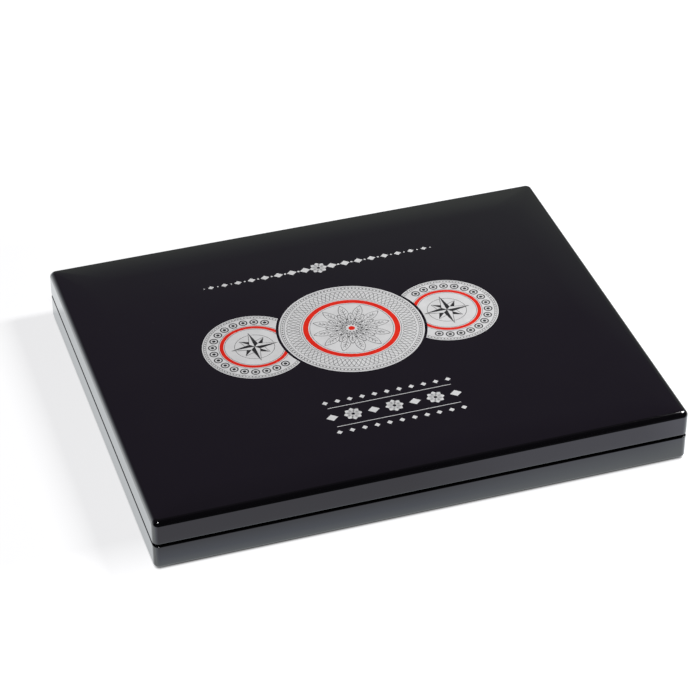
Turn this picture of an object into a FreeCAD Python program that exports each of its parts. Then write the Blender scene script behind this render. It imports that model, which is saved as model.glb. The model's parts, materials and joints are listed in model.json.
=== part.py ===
import FreeCAD, Part
import math
import os
from dataclasses import dataclass

import Sketcher

# A flat coin case: a base and a lid of mitred rails and panels, joined by two butt hinges at the rear.
# X runs along the width, Y to the rear, Z up; the origin is the middle of the underside.
# Lengths are in millimetres and angles in degrees.
SIZES = {
    "case_width": 305,
    "case_depth": 245,
    "corner_radius": 3.5,
    "rail_thickness": 10,
    "base_height": 16.4,
    "base_panel_thickness": 4,
    "base_bottom_radius": 2.2,
    "base_rim_radius": 2,
    "lid_height": 15.4,
    "lid_panel_thickness": 4,
    "lid_edge_radius": 3.1,
    "lid_rim_radius": 0.6,
    "fillet_wall_share": 0.9,
    "felt_thickness": 0.8,
    "felt_inset": 6,
    "felt_corner_radius": 4,
    "tray_clearance": 0.5,
    "tray_backing_thickness": 2,
    "tray_thickness": 6,
    "tray_edge_radius": 0.8,
    "recess_diameter": 34,
    "recess_lip_radius": 0.8,
    "recess_columns": 5,
    "recess_rows": 5,
    "lining_clearance": 0.5,
    "lining_board_thickness": 1.5,
    "pad_inset": 0.5,
    "pad_thickness": 3,
    "pad_edge_radius": 1.5,
    "opening_angle": 100,
    "stop_clearance_angle": 0.3,
    "hinge_end_distance": 60,
    "hinge_length": 24,
    "hinge_setback": 2.6,
    "barrel_diameter": 3.5,
    "barrel_clearance": 0.3,
    "knuckle_count": 5,
    "knuckle_gap": 0.2,
    "pin_diameter": 1.8,
    "pin_end_radius": 0.3,
    "pin_seat_clearance": 0.01,
    "pin_running_clearance": 0.05,
    "leaf_thickness": 1,
    "leaf_recess": 0.1,
    "leaf_margin": 0.6,
    "mortise_clearance": 0.1,
    "screw_spacing": 14,
    "screw_head_diameter": 2.6,
    "screw_shank_diameter": 1.4,
    "screw_length": 7,
    "screw_tip_length": 1,
    "screw_slot_width": 0.4,
    "screw_slot_depth": 0.3,
    "screw_clearance": 0.03,
    "magnet_end_distance": 60,
    "magnet_diameter": 6,
    "magnet_thickness": 3,
    "magnet_edge_radius": 0.3,
    "magnet_recess": 0.1,
    "magnet_clearance": 0.05,
    "cut_overrun": 1,
}

# Places and sizes that follow from the sheet, as expressions
HALF_WIDTH = "(dims.case_width / 2)"
HALF_DEPTH = "(dims.case_depth / 2)"
INNER_WIDTH = "(dims.case_width - 2 * dims.rail_thickness)"
INNER_DEPTH = "(dims.case_depth - 2 * dims.rail_thickness)"
MITRE_INSET = "(dims.corner_radius * (1 - sqrt(2) / 2))"
PARTING_HEIGHT = "(dims.felt_thickness + dims.base_height)"
BASE_FLOOR_HEIGHT = "(dims.felt_thickness + dims.base_panel_thickness)"
BASE_RAIL_HEIGHT = "(dims.base_height - dims.base_panel_thickness)"
LID_RAIL_HEIGHT = "(dims.lid_height - dims.lid_panel_thickness)"
LID_CEILING_HEIGHT = f"({PARTING_HEIGHT} + {LID_RAIL_HEIGHT})"
TRAY_WIDTH = f"({INNER_WIDTH} - 2 * dims.tray_clearance)"
TRAY_DEPTH = f"({INNER_DEPTH} - 2 * dims.tray_clearance)"
COLUMN_PITCH = f"(({TRAY_WIDTH} + dims.recess_diameter) / (dims.recess_columns + 1))"
ROW_PITCH = f"(({TRAY_DEPTH} + dims.recess_diameter) / (dims.recess_rows + 1))"
LINING_WIDTH = f"({INNER_WIDTH} - 2 * dims.lining_clearance)"
LINING_DEPTH = f"({INNER_DEPTH} - 2 * dims.lining_clearance)"
HINGE_X = f"({HALF_WIDTH} - dims.hinge_end_distance)"
HINGE_Y = f"({HALF_DEPTH} - dims.hinge_setback)"
BEVEL_ANGLE = "(dims.opening_angle / 2 + dims.stop_clearance_angle)"
BARREL_REACH = "(dims.barrel_diameter / 2 + dims.barrel_clearance)"
LEAF_WIDTH = "(dims.rail_thickness - dims.hinge_setback - dims.leaf_margin)"
KNUCKLE_LENGTH = "(dims.hinge_length / dims.knuckle_count)"
SCREW_DISTANCE = f"(({BARREL_REACH} + {LEAF_WIDTH}) / 2)"
HEAD_RADIUS = "(dims.screw_head_diameter / 2)"
SHANK_RADIUS = "(dims.screw_shank_diameter / 2)"
HEAD_DEPTH = f"({HEAD_RADIUS} - {SHANK_RADIUS})"
MAGNET_X = f"({HALF_WIDTH} - dims.magnet_end_distance)"
MAGNET_Y = f"({HALF_DEPTH} - dims.rail_thickness / 2)"

SIDE_TURNS = {"front": 0, "right": 90, "rear": 180, "left": 270}
FULL_TURN = 360
SAME_PLACE = 1e-6
SAME_COUNT = 1e-3
# A pattern's step of this value takes the pattern's own spacing
EVEN_STEP = -1.0

document = FreeCAD.newDocument("coin_case")
dims = document.addObject("Spreadsheet::Sheet", "dims")
for row, (alias, number) in enumerate(SIZES.items(), start=1):
    dims.set(f"A{row}", alias)
    dims.set(f"B{row}", str(number))
    dims.setAlias(f"B{row}", alias)
document.recompute()


@dataclass(frozen=True)
class Shell:
    """One half of the case: its heights, and the sign that points from its rim into its rails."""

    name: str
    into: str
    rail_height: str
    rail_place: str
    rim: str
    rim_radius: str
    panel_thickness: str
    panel_place: str
    panel_edge: str
    panel_edge_radius: str


BASE = Shell(
    name="base",
    into="-",
    rail_height=BASE_RAIL_HEIGHT,
    rail_place=BASE_FLOOR_HEIGHT,
    rim=BASE_RAIL_HEIGHT,
    rim_radius="dims.base_rim_radius",
    panel_thickness="dims.base_panel_thickness",
    panel_place="dims.felt_thickness",
    panel_edge="0",
    panel_edge_radius="dims.base_bottom_radius",
)
LID = Shell(
    name="lid",
    into="+",
    rail_height=LID_RAIL_HEIGHT,
    rail_place=PARTING_HEIGHT,
    rim="0",
    rim_radius="dims.lid_rim_radius",
    panel_thickness="dims.lid_panel_thickness",
    panel_place=LID_CEILING_HEIGHT,
    panel_edge="dims.lid_panel_thickness",
    panel_edge_radius="dims.lid_edge_radius",
)


# Helpers for bodies, sketches and features

def value(expression):
    """The number that an expression has now."""
    return float(dims.evalExpression(expression))


def new_body(label):
    """An empty body with its own label."""
    return document.addObject("PartDesign::Body", label)


def place(part, x="0", y="0", z="0", turn=0):
    """Put a part at its place in the case, turned about the vertical."""
    part.Placement.Rotation = FreeCAD.Rotation(FreeCAD.Vector(0, 0, 1), turn)
    for axis, expression in zip("xyz", (x, y, z)):
        part.setExpression(f"Placement.Base.{axis}", expression)


def origin_feature(body, role):
    """A body's own origin plane or axis."""
    return {feature.Role: feature for feature in body.Origin.OriginFeatures}[role]


def new_sketch(body, name, plane, x="0", y="0", z="0"):
    """A sketch on one of the body's origin planes, shifted in the plane's own axes."""
    sketch = body.newObject("Sketcher::SketchObject", f"{body.Label}_{name}")
    sketch.AttachmentSupport = [(origin_feature(body, plane), "")]
    sketch.MapMode = "FlatFace"
    for axis, expression in zip("xyz", (x, y, z)):
        sketch.setExpression(f"AttachmentOffset.Base.{axis}", expression)
    return sketch


def pin_point(sketch, geometry, position, x, y):
    """Hold one point of a sketch at a pair of expressions."""
    for kind, expression in (("DistanceX", x), ("DistanceY", y)):
        constraint = Sketcher.Constraint(kind, -1, 1, geometry, position, value(expression))
        number = sketch.addConstraint(constraint)
        sketch.setExpression(f"Constraints[{number}]", expression)


def draw_circle(sketch, x, y, diameter):
    """A circle held at its centre and diameter."""
    centre = FreeCAD.Vector(value(x), value(y), 0)
    circle = Part.Circle(centre, FreeCAD.Vector(0, 0, 1), value(diameter) / 2)
    geometry = sketch.addGeometry(circle)
    pin_point(sketch, geometry, 3, x, y)
    number = sketch.addConstraint(Sketcher.Constraint("Diameter", geometry, value(diameter)))
    sketch.setExpression(f"Constraints[{number}]", diameter)


def arc_between(start, stop, centre):
    """The shorter arc about a centre, and which of its ends is the first and the last."""
    circle = Part.Circle(centre, FreeCAD.Vector(0, 0, 1), (start - centre).Length)
    angles = [math.atan2(point.y - centre.y, point.x - centre.x) for point in (start, stop)]
    if (start - centre).cross(stop - centre).z > 0:
        return Part.ArcOfCircle(circle, angles[0], angles[1]), (1, 2)
    return Part.ArcOfCircle(circle, angles[1], angles[0]), (2, 1)


def draw_outline(sketch, corners, arcs=None):
    """A closed outline through corners; arcs gives centre x, centre y and radius of each round side."""
    arcs = arcs or {}
    points = [FreeCAD.Vector(value(x), value(y), 0) for x, y in corners]
    sides = []
    for number, start in enumerate(points):
        stop = points[(number + 1) % len(points)]
        curve, ends = Part.LineSegment(start, stop), (1, 2)
        if number in arcs:
            centre_x, centre_y, radius = arcs[number]
            curve, ends = arc_between(start, stop, FreeCAD.Vector(value(centre_x), value(centre_y), 0))
        sides.append((sketch.addGeometry(curve), ends))
    for number, (geometry, ends) in enumerate(sides):
        following, following_ends = sides[(number + 1) % len(sides)]
        joint = Sketcher.Constraint("Coincident", geometry, ends[1], following, following_ends[0])
        sketch.addConstraint(joint)
        pin_point(sketch, geometry, ends[0], *corners[number])
        if number in arcs:
            radius = arcs[number][2]
            constraint = sketch.addConstraint(Sketcher.Constraint("Radius", geometry, value(radius)))
            sketch.setExpression(f"Constraints[{constraint}]", radius)


def rectangle(low_x, low_y, high_x, high_y):
    """The corners of an upright rectangle."""
    return [(low_x, low_y), (high_x, low_y), (high_x, high_y), (low_x, high_y)]


def middle_rectangle(width, depth):
    """The corners of a rectangle about the origin."""
    return rectangle(f"-{width} / 2", f"-{depth} / 2", f"{width} / 2", f"{depth} / 2")


def rounded_rectangle(width, depth, radius):
    """Corners and arcs of a rectangle about the origin with round corners."""
    near_x, near_y = f"({width} / 2 - {radius})", f"({depth} / 2 - {radius})"
    far_x, far_y = f"({width} / 2)", f"({depth} / 2)"
    corners = [
        (f"-{near_x}", f"-{far_y}"), (near_x, f"-{far_y}"), (far_x, f"-{near_y}"), (far_x, near_y),
        (near_x, far_y), (f"-{near_x}", far_y), (f"-{far_x}", near_y), (f"-{far_x}", f"-{near_y}"),
    ]
    arcs = {
        1: (near_x, f"-{near_y}", radius), 3: (near_x, near_y, radius),
        5: (f"-{near_x}", near_y, radius), 7: (f"-{near_x}", f"-{near_y}", radius),
    }
    return corners, arcs


def add_feature(body, kind, name, **settings):
    """A feature on top of the body, with its settings, made the body's tip."""
    feature = body.newObject(f"PartDesign::{kind}", f"{body.Label}_{name}")
    for setting, content in settings.items():
        setattr(feature, setting, content)
    body.Tip = feature
    return feature


def pad(body, sketch, length, reverse=False, middle=False):
    """Raise a sketch to a solid."""
    feature = add_feature(body, "Pad", "pad", Profile=sketch, Reversed=reverse, Midplane=middle)
    feature.setExpression("Length", length)
    document.recompute()
    return feature


def require_less(feature, before):
    """Stop if a cut took nothing away."""
    document.recompute()
    if not feature.Shape.Volume < before:
        raise RuntimeError(f"{feature.Label} cuts nothing")
    return feature


def pocket(body, sketch, length, reverse=False, middle=False):
    """Cut a sketch into the body, down from its plane unless reversed."""
    before = body.Tip.Shape.Volume
    feature = add_feature(body, "Pocket", "pocket", Profile=sketch, Reversed=reverse, Midplane=middle)
    feature.setExpression("Length", length)
    return require_less(feature, before)


def groove(body, sketch):
    """Turn a sketch about its own upright axis and cut it away."""
    before = body.Tip.Shape.Volume
    turning = {"Profile": sketch, "ReferenceAxis": (sketch, ["V_Axis"]), "Angle": FULL_TURN}
    return require_less(add_feature(body, "Groove", "groove", **turning), before)


def mirror(body, originals):
    """Repeat cuts on the other side of the body's middle."""
    before = body.Tip.Shape.Volume
    plane = (origin_feature(body, "YZ_Plane"), [""])
    feature = add_feature(body, "Mirrored", "mirror", Originals=originals, MirrorPlane=plane)
    return require_less(feature, before)


def round_edges(body, radius, chosen):
    """Round those edges of the body whose boxes are chosen."""
    base = body.Tip
    names = [
        f"Edge{number}" for number, edge in enumerate(base.Shape.Edges, start=1) if chosen(edge.BoundBox)
    ]
    feature = add_feature(body, "Fillet", "fillet", Base=(base, names))
    feature.setExpression("Radius", radius)
    document.recompute()


def level_at(height):
    """A choice of the edges that lie level at a height."""
    level = value(height)
    return lambda box: max(abs(box.ZMin - level), abs(box.ZMax - level)) < SAME_PLACE


def limited(radius, *walls):
    """A fillet's radius, kept inside the walls that it runs along."""
    shares = "; ".join(f"dims.fillet_wall_share * {wall}" for wall in walls)
    return f"min({radius}; {shares})"


# Shells of the base and the lid

def make_panel(shell):
    """The flat panel that closes a shell, with its outer edge rounded."""
    body = new_body(f"{shell.name}_panel")
    place(body, z=shell.panel_place)
    sketch = new_sketch(body, "outline", "XY_Plane")
    draw_outline(sketch, *rounded_rectangle("dims.case_width", "dims.case_depth", "dims.corner_radius"))
    pad(body, sketch, shell.panel_thickness)
    radius = limited(shell.panel_edge_radius, shell.panel_thickness, "dims.corner_radius")
    round_edges(body, radius, level_at(shell.panel_edge))
    return body


def make_rail_blank(shell, side):
    """A rail with mitred ends, drawn as a front rail and turned to its side."""
    lengthwise = side in ("front", "rear")
    half_length = HALF_WIDTH if lengthwise else HALF_DEPTH
    outer = HALF_DEPTH if lengthwise else HALF_WIDTH
    body = new_body(f"{shell.name}_{side}_rail")
    place(body, z=shell.rail_place, turn=SIDE_TURNS[side])
    tip_x, tip_y = f"({half_length} - {MITRE_INSET})", f"(-{outer} + {MITRE_INSET})"
    bend_x, bend_y = f"({half_length} - dims.corner_radius)", f"(-{outer} + dims.corner_radius)"
    inner_x, inner_y = f"({half_length} - dims.rail_thickness)", f"(-{outer} + dims.rail_thickness)"
    corners = [
        (f"-{tip_x}", tip_y), (f"-{bend_x}", f"-{outer}"), (bend_x, f"-{outer}"), (tip_x, tip_y),
        (inner_x, inner_y), (f"-{inner_x}", inner_y),
    ]
    arcs = {
        0: (f"-{bend_x}", bend_y, "dims.corner_radius"),
        2: (bend_x, bend_y, "dims.corner_radius"),
    }
    sketch = new_sketch(body, "outline", "XY_Plane")
    draw_outline(sketch, corners, arcs)
    pad(body, sketch, shell.rail_height)
    return body


def round_rim(body, shell, outer):
    """Round the outer edge of a rail's rim."""
    at_rim = level_at(shell.rim)
    middle = value(f"-{outer} + dims.rail_thickness / 2")
    radius = limited(shell.rim_radius, shell.rail_height, "dims.corner_radius")
    round_edges(body, radius, lambda box: at_rim(box) and box.YMax < middle)


def bevel_rim(body, shell, plane, outward):
    """Cut the rim back behind the hinge axis, so that the two shells meet there and stop the lid."""
    away = "+" if shell.into == "-" else "-"
    axis = f"{outward}{HINGE_Y}"
    out = f"{outward}({HALF_DEPTH} + dims.cut_overrun)"
    depth = f"(dims.hinge_setback + dims.cut_overrun) * tan({BEVEL_ANGLE})"
    deep_rim = f"{shell.rim} {shell.into} {depth}"
    past_rim = f"{shell.rim} {away} dims.cut_overrun"
    corners = [(axis, shell.rim), (out, deep_rim), (out, past_rim), (axis, past_rim)]
    sketch = new_sketch(body, "bevel", plane)
    draw_outline(sketch, corners)
    pocket(body, sketch, "dims.case_width + 2 * dims.cut_overrun", middle=True)


def make_front_rail(shell):
    """The front rail, with a seat for a magnet near each end."""
    body = make_rail_blank(shell, "front")
    round_rim(body, shell, HALF_DEPTH)
    sketch = new_sketch(body, "magnet_seat", "XY_Plane", z=shell.rim)
    draw_circle(sketch, MAGNET_X, f"-{MAGNET_Y}", "dims.magnet_diameter + 2 * dims.magnet_clearance")
    depth = "dims.magnet_recess + dims.magnet_thickness"
    seat = pocket(body, sketch, depth, reverse=shell is LID)
    mirror(body, [seat])
    return body


def make_side_rail(shell, side):
    """A left or right rail, bevelled at its rear end."""
    body = make_rail_blank(shell, side)
    round_rim(body, shell, HALF_WIDTH)
    bevel_rim(body, shell, "XZ_Plane", outward="+" if side == "right" else "-")
    return body


def make_rear_rail(shell):
    """The rear rail, bevelled and with a seat for each hinge leaf, its barrel and its screws."""
    body = make_rail_blank(shell, "rear")
    bevel_rim(body, shell, "YZ_Plane", outward="-")
    seat_length = "(dims.hinge_length + 2 * dims.mortise_clearance)"
    barrel = new_sketch(body, "barrel_seat", "YZ_Plane", z=HINGE_X)
    draw_circle(barrel, f"-{HINGE_Y}", shell.rim, f"2 * {BARREL_REACH}")
    barrel_seat = pocket(body, barrel, seat_length, middle=True)
    mortise = new_sketch(body, "mortise", "XY_Plane", z=shell.rim)
    low_x, high_x = f"{HINGE_X} - {seat_length} / 2", f"{HINGE_X} + {seat_length} / 2"
    far_y = f"-{HINGE_Y} + {LEAF_WIDTH} + dims.mortise_clearance"
    draw_outline(mortise, rectangle(low_x, f"-{HINGE_Y}", high_x, far_y))
    mortise_seat = pocket(body, mortise, "dims.leaf_recess + dims.leaf_thickness", reverse=shell is LID)
    pilots = new_sketch(body, "pilots", "XY_Plane", z=shell.rim)
    for sign in "-+":
        pilot_x = f"{HINGE_X} {sign} dims.screw_spacing / 2"
        pilot_diameter = "dims.screw_shank_diameter + 2 * dims.screw_clearance"
        draw_circle(pilots, pilot_x, f"-{HINGE_Y} + {SCREW_DISTANCE}", pilot_diameter)
    depth = "dims.leaf_recess + dims.screw_length + dims.screw_clearance"
    pilot_holes = pocket(body, pilots, depth, reverse=shell is LID)
    mirror(body, [barrel_seat, mortise_seat, pilot_holes])
    return body


def make_shell(shell):
    """A panel and its four rails."""
    sides = [make_side_rail(shell, side) for side in ("left", "right")]
    return [make_panel(shell), make_front_rail(shell), make_rear_rail(shell), *sides]


# Tray, linings and felt

def make_board(label, width, depth, thickness, height):
    """A plain rectangular board about the middle of the case."""
    body = new_body(label)
    place(body, z=height)
    sketch = new_sketch(body, "outline", "XY_Plane")
    draw_outline(sketch, middle_rectangle(width, depth))
    pad(body, sketch, thickness)
    return body


def make_felt():
    """The felt sheet under the base."""
    body = new_body("base_felt")
    place(body)
    sketch = new_sketch(body, "outline", "XY_Plane")
    width = "(dims.case_width - 2 * dims.felt_inset)"
    depth = "(dims.case_depth - 2 * dims.felt_inset)"
    draw_outline(sketch, *rounded_rectangle(width, depth, "dims.felt_corner_radius"))
    pad(body, sketch, "dims.felt_thickness")
    return body


def make_tray():
    """The tray plate, with rows of round recesses right through it and a soft lip on each."""
    height = f"{BASE_FLOOR_HEIGHT} + dims.tray_backing_thickness"
    body = make_board("coin_tray", TRAY_WIDTH, TRAY_DEPTH, "dims.tray_thickness", height)
    top = "dims.tray_thickness"
    round_edges(body, limited("dims.tray_edge_radius", top), level_at(top))
    first_x = f"-{COLUMN_PITCH} * (dims.recess_columns - 1) / 2"
    first_y = f"-{ROW_PITCH} * (dims.recess_rows - 1) / 2"
    profile = new_sketch(body, "recess", "XZ_Plane", x=first_x, z=f"-({first_y})")
    radius, lip = "dims.recess_diameter / 2", "dims.recess_lip_radius"
    below, above = "-dims.cut_overrun", f"{top} + dims.cut_overrun"
    corners = [
        ("0", below), (radius, below), (radius, f"{top} - {lip}"), (f"{radius} + {lip}", top),
        (f"{radius} + {lip}", above), ("0", above),
    ]
    draw_outline(profile, corners, {2: (f"{radius} + {lip}", f"{top} - {lip}", lip)})
    plain_volume = body.Tip.Shape.Volume
    recess = groove(body, profile)
    recess_volume = plain_volume - recess.Shape.Volume
    pattern = add_feature(
        body, "LinearPattern", "rows", Originals=[recess], Mode="Spacing", Mode2="Spacing",
        Direction=(origin_feature(body, "X_Axis"), [""]), Direction2=(origin_feature(body, "Y_Axis"), [""]),
    )
    pattern.setExpression("Offset", COLUMN_PITCH)
    pattern.setExpression("Offset2", ROW_PITCH)
    columns, rows = round(value("dims.recess_columns")), round(value("dims.recess_rows"))
    pattern.Occurrences, pattern.Occurrences2 = columns, rows
    pattern.Spacings2 = [EVEN_STEP] * (rows - 1)
    document.recompute()
    recess_count = (plain_volume - pattern.Shape.Volume) / recess_volume
    if abs(recess_count - columns * rows) > SAME_COUNT:
        raise RuntimeError(f"the tray has {recess_count} recesses")
    return body


def make_pad():
    """The satin pad under the lining board, round at the edges that show."""
    width, depth = f"({LINING_WIDTH} - 2 * dims.pad_inset)", f"({LINING_DEPTH} - 2 * dims.pad_inset)"
    height = f"{LID_CEILING_HEIGHT} - dims.lining_board_thickness - dims.pad_thickness"
    body = make_board("lid_satin_pad", width, depth, "dims.pad_thickness", height)
    round_edges(body, limited("dims.pad_edge_radius", "dims.pad_thickness"), level_at("0"))
    return body


def make_insides():
    """Everything soft, and the boards that carry it."""
    backing, lining = "dims.tray_backing_thickness", "dims.lining_board_thickness"
    lining_place = f"{LID_CEILING_HEIGHT} - {lining}"
    return [
        make_felt(),
        make_board("tray_backing_board", TRAY_WIDTH, TRAY_DEPTH, backing, BASE_FLOOR_HEIGHT),
        make_tray(),
        make_board("lid_lining_board", LINING_WIDTH, LINING_DEPTH, lining, lining_place),
        make_pad(),
    ]


# Magnets and hinges

def make_magnet(shell, side, sign):
    """A disc magnet just below the face of its front rail."""
    body = new_body(f"{shell.name}_magnet_{side}")
    depth = "(dims.magnet_recess + dims.magnet_thickness)"
    height = f"{PARTING_HEIGHT} - {depth}" if shell is BASE else f"{PARTING_HEIGHT} + dims.magnet_recess"
    place(body, x=f"{sign}{MAGNET_X}", y=f"-{MAGNET_Y}", z=height)
    sketch = new_sketch(body, "outline", "XY_Plane")
    draw_circle(sketch, "0", "0", "dims.magnet_diameter")
    pad(body, sketch, "dims.magnet_thickness")
    radius = limited("dims.magnet_edge_radius", "dims.magnet_thickness / 2")
    round_edges(body, radius, lambda box: box.ZLength < SAME_PLACE)
    return body


def make_leaf(shell, side, sign, own_knuckles, bore_clearance):
    """A hinge leaf with its share of the knuckles, drawn about the middle of the hinge axis."""
    body = new_body(f"{side}_hinge_{shell.name}_leaf")
    place(body, x=f"{sign}{HINGE_X}", y=HINGE_Y, z=PARTING_HEIGHT)
    plate = new_sketch(body, "plate", "XY_Plane", z=f"{shell.into}dims.leaf_recess")
    draw_outline(plate, rectangle("-dims.hinge_length / 2", f"-{LEAF_WIDTH}", "dims.hinge_length / 2", "0"))
    pad(body, plate, "dims.leaf_thickness", reverse=shell is BASE)
    barrel = new_sketch(body, "barrel", "YZ_Plane")
    draw_circle(barrel, "0", "0", "dims.barrel_diameter")
    pad(body, barrel, "dims.hinge_length", middle=True)
    windows = new_sketch(body, "windows", "XY_Plane")
    for number in range(SIZES["knuckle_count"]):
        if number % 2 == own_knuckles:
            continue
        low_x = f"-dims.hinge_length / 2 + {number} * {KNUCKLE_LENGTH} - dims.knuckle_gap / 2"
        high_x = f"-dims.hinge_length / 2 + {number + 1} * {KNUCKLE_LENGTH} + dims.knuckle_gap / 2"
        high_y = "dims.barrel_diameter / 2 + dims.cut_overrun"
        draw_outline(windows, rectangle(low_x, f"-{BARREL_REACH}", high_x, high_y))
    pocket(body, windows, "dims.barrel_diameter + 2 * dims.cut_overrun", middle=True)
    bore = new_sketch(body, "bore", "YZ_Plane")
    draw_circle(bore, "0", "0", f"dims.pin_diameter + 2 * {bore_clearance}")
    pocket(body, bore, "dims.hinge_length + 2 * dims.cut_overrun", middle=True)
    mirror(body, [sink_screw_hole(body, shell)])
    return body


def sink_screw_hole(body, shell):
    """A countersunk hole through one end of a leaf."""
    away = "-" if shell.into == "+" else "+"
    head = f"{HEAD_RADIUS} + dims.screw_clearance"
    shank = f"{SHANK_RADIUS} + dims.screw_clearance"
    before_face = f"{away}dims.cut_overrun"
    past_back = f"{shell.into}(dims.leaf_thickness + dims.cut_overrun)"
    corners = [
        ("0", before_face), (head, before_face), (head, "0"), (shank, f"{shell.into}{HEAD_DEPTH}"),
        (shank, past_back), ("0", past_back),
    ]
    sketch = new_sketch(
        body, "screw_hole", "XZ_Plane",
        x="dims.screw_spacing / 2", y=f"{shell.into}dims.leaf_recess", z=SCREW_DISTANCE,
    )
    draw_outline(sketch, corners)
    return groove(body, sketch)


def make_pin(side, sign):
    """The pin through a hinge's knuckles."""
    body = new_body(f"{side}_hinge_pin")
    place(body, x=f"{sign}{HINGE_X}", y=HINGE_Y, z=PARTING_HEIGHT)
    sketch = new_sketch(body, "section", "YZ_Plane")
    draw_circle(sketch, "0", "0", "dims.pin_diameter")
    pad(body, sketch, "dims.hinge_length", middle=True)
    radius = limited("dims.pin_end_radius", "dims.pin_diameter / 2")
    round_edges(body, radius, lambda box: box.XLength < SAME_PLACE)
    return body


def make_screw(shell, label, x):
    """A slotted countersunk screw, its head's face at its own origin."""
    body = new_body(label)
    place(body, x=x, y=f"-{SCREW_DISTANCE}", z=f"{shell.into}dims.leaf_recess")
    profile = new_sketch(body, "profile", "XZ_Plane")
    corners = [
        ("0", "0"), (HEAD_RADIUS, "0"), (SHANK_RADIUS, f"{shell.into}{HEAD_DEPTH}"),
        (SHANK_RADIUS, f"{shell.into}(dims.screw_length - dims.screw_tip_length)"),
        ("0", f"{shell.into}dims.screw_length"),
    ]
    draw_outline(profile, corners)
    turning = {"Profile": profile, "ReferenceAxis": (profile, ["V_Axis"]), "Angle": FULL_TURN}
    add_feature(body, "Revolution", "turned", **turning)
    document.recompute()
    slot = new_sketch(body, "slot", "XY_Plane")
    slot_length = "(dims.screw_head_diameter + 2 * dims.cut_overrun)"
    draw_outline(slot, middle_rectangle(slot_length, "dims.screw_slot_width"))
    pocket(body, slot, "dims.screw_slot_depth", reverse=shell is LID)
    return body


def make_screws(shell, side, sign):
    """The pair of screws that hold one leaf, as one group."""
    label = f"{side}_hinge_{shell.name}_screws"
    screws = [
        make_screw(shell, f"{label}_{number}", f"{end}dims.screw_spacing / 2")
        for number, end in enumerate("-+", start=1)
    ]
    group = document.addObject("Part::Compound", label)
    group.Links = screws
    place(group, x=f"{sign}{HINGE_X}", y=HINGE_Y, z=PARTING_HEIGHT)
    document.recompute()
    return group


def make_hardware(side, sign):
    """The magnets and the hinge on one side of the case."""
    return [
        make_magnet(BASE, side, sign),
        make_magnet(LID, side, sign),
        make_leaf(BASE, side, sign, own_knuckles=0, bore_clearance="dims.pin_seat_clearance"),
        make_leaf(LID, side, sign, own_knuckles=1, bore_clearance="dims.pin_running_clearance"),
        make_pin(side, sign),
        make_screws(BASE, side, sign),
        make_screws(LID, side, sign),
    ]


def check(parts):
    """Stop if any object failed, or any part has no sound solid."""
    for item in document.Objects:
        if {"Invalid", "Error"} & set(item.State):
            raise RuntimeError(f"{item.Label} failed: {item.State}")
    for part in parts:
        if part.Shape.isNull() or not part.Shape.isValid() or not part.Shape.Solids:
            raise RuntimeError(f"{part.Label} has no sound solid")


def write(parts):
    """Write each part's shape under its label."""
    os.makedirs("parts", exist_ok=True)
    for part in parts:
        part.Shape.exportStep(f"parts/{part.Label}.step")


case_parts = [
    *make_shell(BASE),
    *make_shell(LID),
    *make_insides(),
    *make_hardware("left", "-"),
    *make_hardware("right", "+"),
]
document.recompute()
check(case_parts)
write(case_parts)
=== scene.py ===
import json
import math
from dataclasses import dataclass

import bmesh
import bpy
from mathutils import Matrix, Quaternion, Vector, noise


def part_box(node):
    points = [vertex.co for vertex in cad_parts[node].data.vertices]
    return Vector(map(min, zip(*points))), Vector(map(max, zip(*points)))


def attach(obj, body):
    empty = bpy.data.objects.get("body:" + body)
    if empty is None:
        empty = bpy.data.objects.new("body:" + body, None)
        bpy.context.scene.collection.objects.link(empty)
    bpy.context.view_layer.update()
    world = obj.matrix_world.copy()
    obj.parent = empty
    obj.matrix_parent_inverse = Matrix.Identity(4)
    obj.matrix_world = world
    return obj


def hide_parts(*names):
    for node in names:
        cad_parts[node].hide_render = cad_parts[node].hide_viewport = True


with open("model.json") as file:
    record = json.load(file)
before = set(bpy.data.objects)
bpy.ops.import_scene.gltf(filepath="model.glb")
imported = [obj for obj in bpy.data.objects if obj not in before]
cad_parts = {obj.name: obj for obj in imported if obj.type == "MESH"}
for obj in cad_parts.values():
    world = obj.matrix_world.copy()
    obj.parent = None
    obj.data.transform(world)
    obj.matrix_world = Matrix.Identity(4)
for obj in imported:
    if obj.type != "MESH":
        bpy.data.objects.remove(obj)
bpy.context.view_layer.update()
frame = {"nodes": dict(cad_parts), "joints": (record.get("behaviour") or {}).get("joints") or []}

# The looks of a flat coin case: two lacquered shells, a printed lid, a flocked tray and a satin lining.
# Lengths are in metres; X runs along the width, Y to the rear, Z up.

# Places that the frame gives
HALF_WIDTH, HALF_DEPTH, BASE_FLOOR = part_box("base_panel")[1]
BASE_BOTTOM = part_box("base_panel")[0].z
LID_CEILING, LID_TOP = (corner.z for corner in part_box("lid_panel"))
RAIL_LOW, RAIL_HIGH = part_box("base_front_rail")
RAIL = RAIL_HIGH.y - RAIL_LOW.y
PARTING = RAIL_HIGH.z
HINGE = frame["joints"][0]
HINGE_Y = HINGE["pos_m"][1]
OPENING_ANGLE = math.radians(HINGE["range_deg"][1])

# The lacquered shells
CORNER_RADIUS = 0.0035
TOP_CORNER_RADIUS = 0.0016
TOP_ROLL_RADIUS = 0.0031
CROWN_WIDTH = 0.02
CROWN_CORNER_RADIUS = 0.016
CROWN_SLOPE = math.tan(math.radians(1.5))
CROWN_STEPS = 8
BOTTOM_RADIUS = 0.0022
LID_RIM_RADIUS = 0.0008
BASE_RIM_RADIUS = 0.0004
GROOVE_HEIGHT = 0.0016
GROOVE_DEPTH = 0.0015
INNER_RIM_RADIUS = 0.0005
INNER_CORNER_RADIUS = 0.001
ROLL_STEPS = 14
RIM_STEPS = 12
CORNER_STEPS = 12
SHARP_ANGLE = math.radians(32)

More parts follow.
